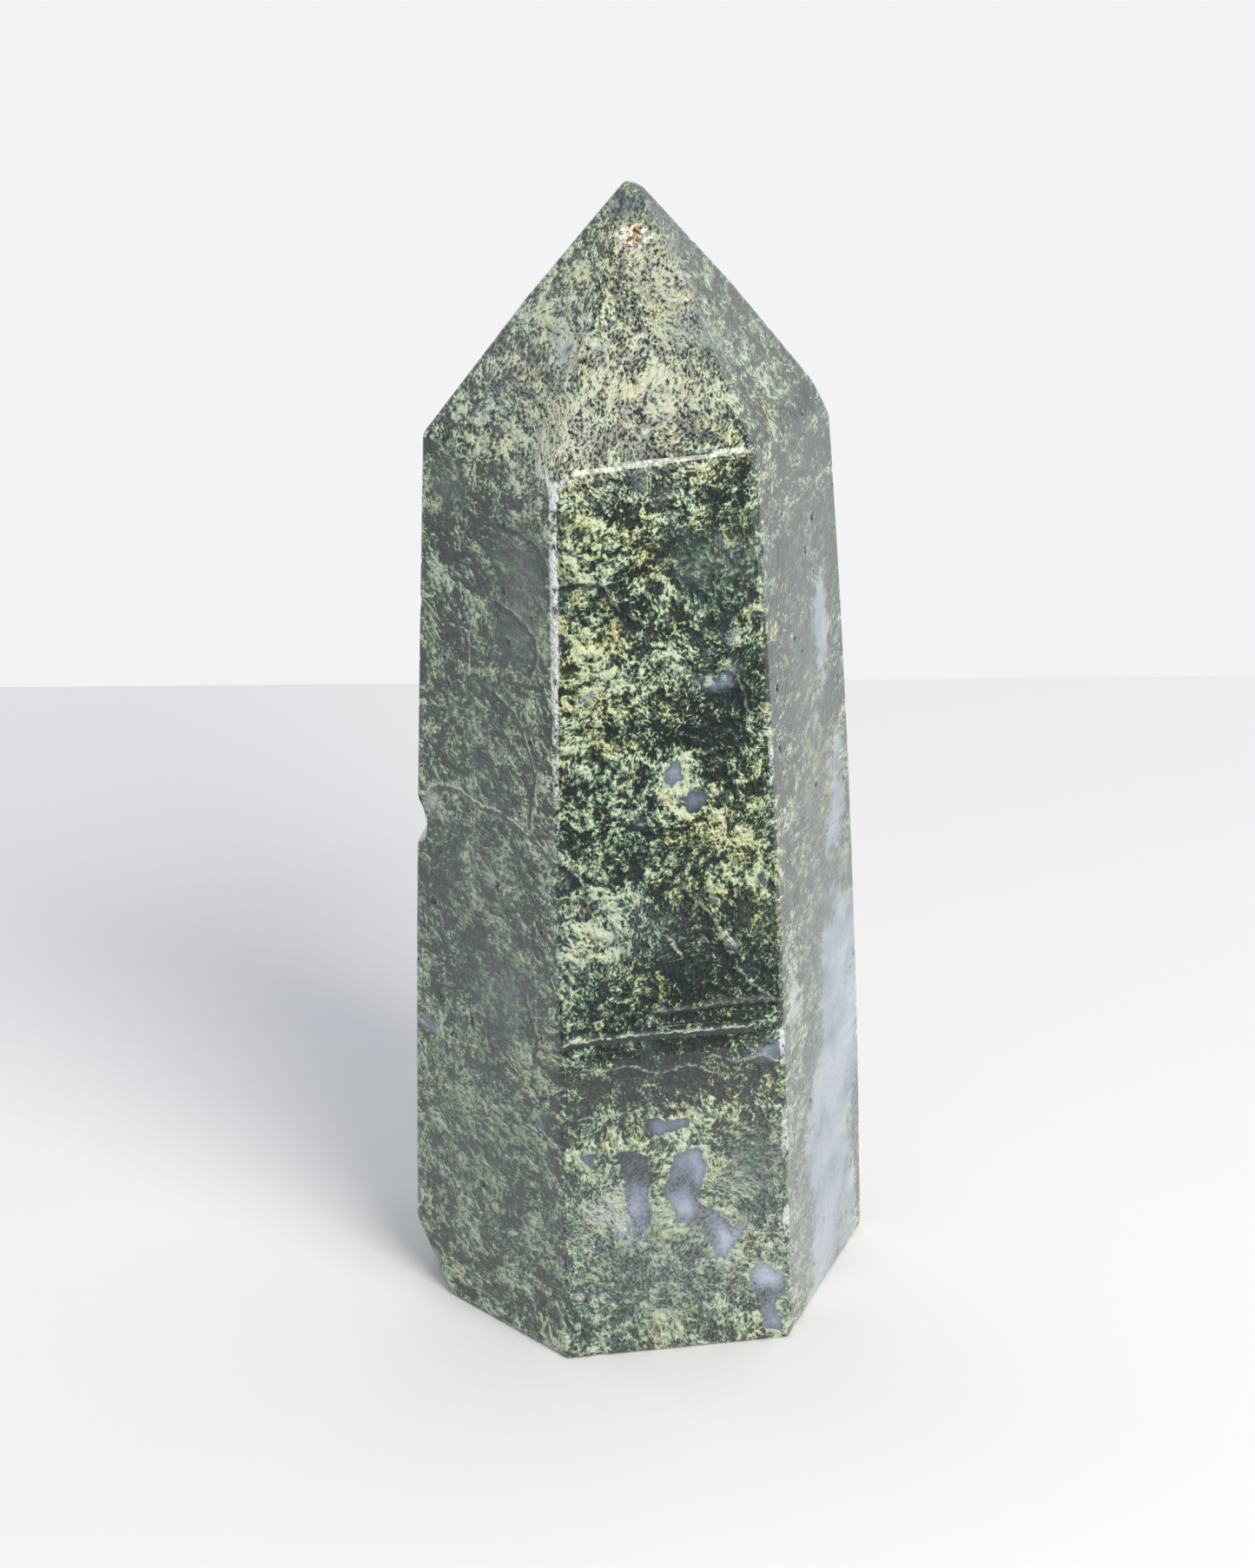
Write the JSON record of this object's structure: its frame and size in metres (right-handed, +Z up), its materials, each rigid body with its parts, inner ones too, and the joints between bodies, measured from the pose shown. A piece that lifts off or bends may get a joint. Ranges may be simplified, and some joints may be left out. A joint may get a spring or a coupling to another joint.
{
  "type": "moss agate point",
  "caption": "Polished hexagonal tower of moss agate with a faceted tip, standing on a flat sawn base, with small chips and worn corners.",
  "frame": {"origin": "on the flat base, under the middle of the stone", "axes": "+Z up from the base to the point; the side with the most moss faces -Y, with +X to its right as seen from the front"},
  "size_m": [0.0318, 0.0308, 0.0794],
  "materials": {
    "moss_agate": "polished"
  },
  "bodies": {
    "root": {"agate_point": "moss_agate"}
  },
  "joints": []
}
